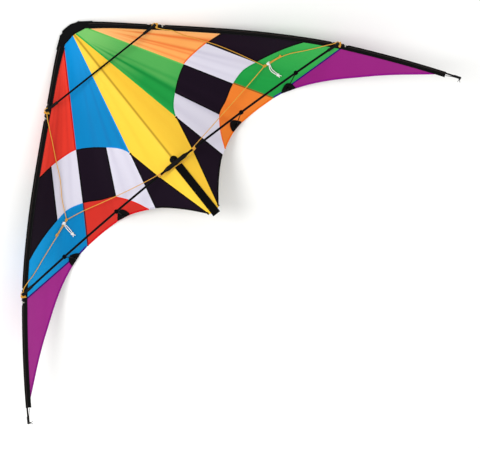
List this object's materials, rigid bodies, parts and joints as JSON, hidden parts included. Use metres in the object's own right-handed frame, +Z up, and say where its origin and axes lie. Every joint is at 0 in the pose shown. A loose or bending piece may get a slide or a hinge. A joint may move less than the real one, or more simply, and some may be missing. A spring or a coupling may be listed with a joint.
{
  "type": "stunt kite",
  "caption": "Dual-line delta stunt kite: a panelled sail on a tubular frame with spreaders, standoffs, connectors, bridle and tow loops.",
  "frame": {"origin": "bottom centre of the kite's box, on the ground it lies on with the sail's face up", "axes": "+X out along the wing with the green and orange panels, +Y towards the nose, +Z up out of the sail's face"},
  "size_m": [1.9022, 0.9482, 0.2283],
  "materials": {
    "sail_yellow": "matt coated ripstop",
    "sail_blue": "matt coated ripstop",
    "sail_green": "matt coated ripstop",
    "sail_red": "matt coated ripstop",
    "sail_orange": "matt coated ripstop",
    "sail_white": "matt coated ripstop",
    "sail_black": "matt coated ripstop",
    "sail_purple": "matt coated ripstop",
    "sleeve_cloth": "woven polyester sleeve",
    "webbing": "heavy woven webbing",
    "rod": "wrapped fibre tube, satin",
    "moulding": "moulded rubbery plastic",
    "bridle_line": "braided polyester line",
    "tow_line": "braided polyester line"
  },
  "bodies": {
    "frame": {"sail_centre_L": "sail_yellow", "sail_centre_R": "sail_yellow", "sail_upper_L": "sail_blue", "sail_upper_R": "sail_green", "sail_leading_L": "sail_red", "sail_leading_R": "sail_orange", "sail_check_1_L": "sail_black", "sail_check_1_R": "sail_black", "sail_check_2_L": "sail_white", "sail_check_2_R": "sail_white", "sail_check_3_L": "sail_black", "sail_check_3_R": "sail_black", "sail_check_4_L": "sail_white", "sail_check_4_R": "sail_white", "sail_check_5_L": "sail_black", "sail_check_5_R": "sail_black", "sail_lower_inner_L": "sail_red", "sail_lower_inner_R": "sail_orange", "sail_lower_outer_L": "sail_blue", "sail_lower_outer_R": "sail_green", "sail_tip_L": "sail_purple", "sail_tip_R": "sail_purple", "sleeve_nose_L": "sleeve_cloth", "sleeve_nose_R": "sleeve_cloth", "sleeve_middle_L": "sleeve_cloth", "sleeve_middle_R": "sleeve_cloth", "sleeve_tip_L": "sleeve_cloth", "sleeve_tip_R": "sleeve_cloth", "nose_webbing": "webbing", "tail_strap": "webbing", "patch_inner_L": "webbing", "patch_inner_R": "webbing", "patch_outer_L": "webbing", "patch_outer_R": "webbing", "spine_rod": "rod", "leading_rod_L": "rod", "leading_rod_R": "rod", "upper_spreader": "rod", "lower_spreader_L": "rod", "lower_spreader_R": "rod", "centre_tee": "moulding", "upper_connector_L": "moulding", "upper_connector_R": "moulding", "lower_connector_L": "moulding", "lower_connector_R": "moulding", "tip_nock_L": "moulding", "tip_nock_R": "moulding", "bridle_upper_L": "bridle_line", "bridle_upper_R": "bridle_line", "bridle_lower_L": "bridle_line", "bridle_lower_R": "bridle_line", "bridle_inner_L": "bridle_line", "bridle_inner_R": "bridle_line", "bridle_centre": "bridle_line", "pigtail_L": "tow_line", "pigtail_R": "tow_line"},
    "standoff_inner_L": {"standoff_inner_L": "moulding"},
    "standoff_inner_R": {"standoff_inner_R": "moulding"},
    "standoff_outer_L": {"standoff_outer_L": "moulding"},
    "standoff_outer_R": {"standoff_outer_R": "moulding"}
  },
  "joints": [
    {"name": "standoff_inner_L_swing", "type": "hinge", "parent": "frame", "child": "standoff_inner_L", "pos_m": [-0.264, -0.09981, 0.14776], "axis": [-0.9995, -0.0311, 0.0071], "range_deg": [0, 90]},
    {"name": "standoff_inner_R_swing", "type": "hinge", "parent": "frame", "child": "standoff_inner_R", "pos_m": [0.2815, -0.10038, 0.14789], "axis": [-0.9994, 0.033, -0.0075], "range_deg": [0, 90]},
    {"name": "standoff_outer_L_swing", "type": "hinge", "parent": "frame", "child": "standoff_outer_L", "pos_m": [-0.498, -0.11004, 0.1501], "axis": [-0.9983, -0.0562, 0.0128], "range_deg": [0, 90]},
    {"name": "standoff_outer_R_swing", "type": "hinge", "parent": "frame", "child": "standoff_outer_R", "pos_m": [0.5125, -0.11087, 0.15029], "axis": [-0.9982, 0.0577, -0.0132], "range_deg": [0, 90]}
  ]
}
